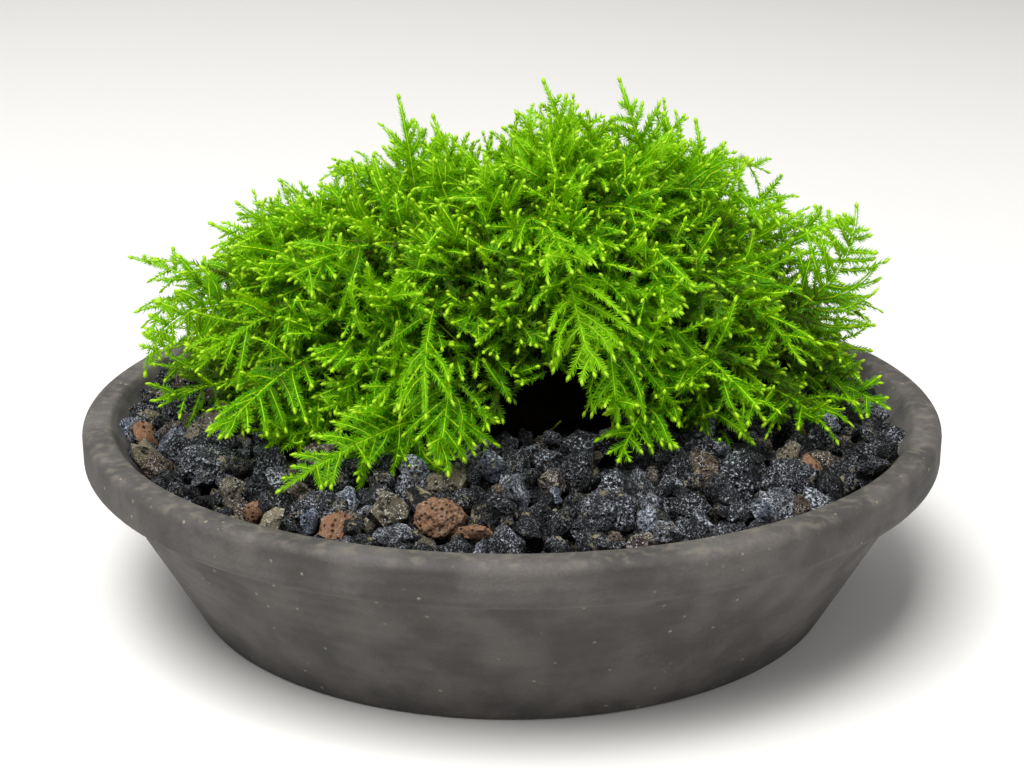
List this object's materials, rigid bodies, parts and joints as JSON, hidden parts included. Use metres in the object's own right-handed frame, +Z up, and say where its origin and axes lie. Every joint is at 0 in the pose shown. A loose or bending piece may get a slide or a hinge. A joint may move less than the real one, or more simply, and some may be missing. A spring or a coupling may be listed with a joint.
{
  "type": "potted christmas moss",
  "caption": "Low clump of christmas moss, with layered fir-shaped fronds, on a heap of dark lava gravel in a shallow round pot.",
  "frame": {"origin": "middle of the pot's underside, in the plane that its foot ring stands on", "axes": "+Z up through the pot's axis; -Y to the front, where the clump shows best; +X to the clump's higher side"},
  "size_m": [0.124, 0.124, 0.0744],
  "materials": {
    "pot": "matte",
    "gravel": "matte",
    "lava_stone": "matte",
    "tan_stone": "matte",
    "moss_mat": "matte",
    "moss_frond": "satin"
  },
  "bodies": {
    "root": {"frond_crown_1": "moss_frond", "frond_crown_2": "moss_frond", "frond_crown_3": "moss_frond", "frond_crown_4": "moss_frond", "frond_crown_5": "moss_frond", "frond_high_01": "moss_frond", "frond_high_02": "moss_frond", "frond_high_03": "moss_frond", "frond_high_04": "moss_frond", "frond_high_05": "moss_frond", "frond_high_06": "moss_frond", "frond_high_07": "moss_frond", "frond_high_08": "moss_frond", "frond_high_09": "moss_frond", "frond_high_10": "moss_frond", "frond_low_01": "moss_frond", "frond_low_02": "moss_frond", "frond_low_03": "moss_frond", "frond_low_04": "moss_frond", "frond_low_05": "moss_frond", "frond_low_06": "moss_frond", "frond_low_07": "moss_frond", "frond_low_08": "moss_frond", "frond_low_09": "moss_frond", "frond_low_10": "moss_frond", "frond_low_11": "moss_frond", "frond_low_12": "moss_frond", "frond_low_13": "moss_frond", "frond_middle_01": "moss_frond", "frond_middle_02": "moss_frond", "frond_middle_03": "moss_frond", "frond_middle_04": "moss_frond", "frond_middle_05": "moss_frond", "frond_middle_06": "moss_frond", "frond_middle_07": "moss_frond", "frond_middle_08": "moss_frond", "frond_middle_09": "moss_frond", "frond_middle_10": "moss_frond", "frond_middle_11": "moss_frond", "frond_middle_12": "moss_frond", "frond_upper_01": "moss_frond", "frond_upper_02": "moss_frond", "frond_upper_03": "moss_frond", "frond_upper_04": "moss_frond", "frond_upper_05": "moss_frond", "frond_upper_06": "moss_frond", "frond_upper_07": "moss_frond", "gravel_bed": "gravel", "moss_mat": "moss_mat", "pot": "pot", "stone_1": "lava_stone", "stone_2": "lava_stone", "stone_3": "tan_stone", "stone_4": "lava_stone", "stone_5": "lava_stone", "stone_6": "tan_stone"}
  },
  "joints": []
}
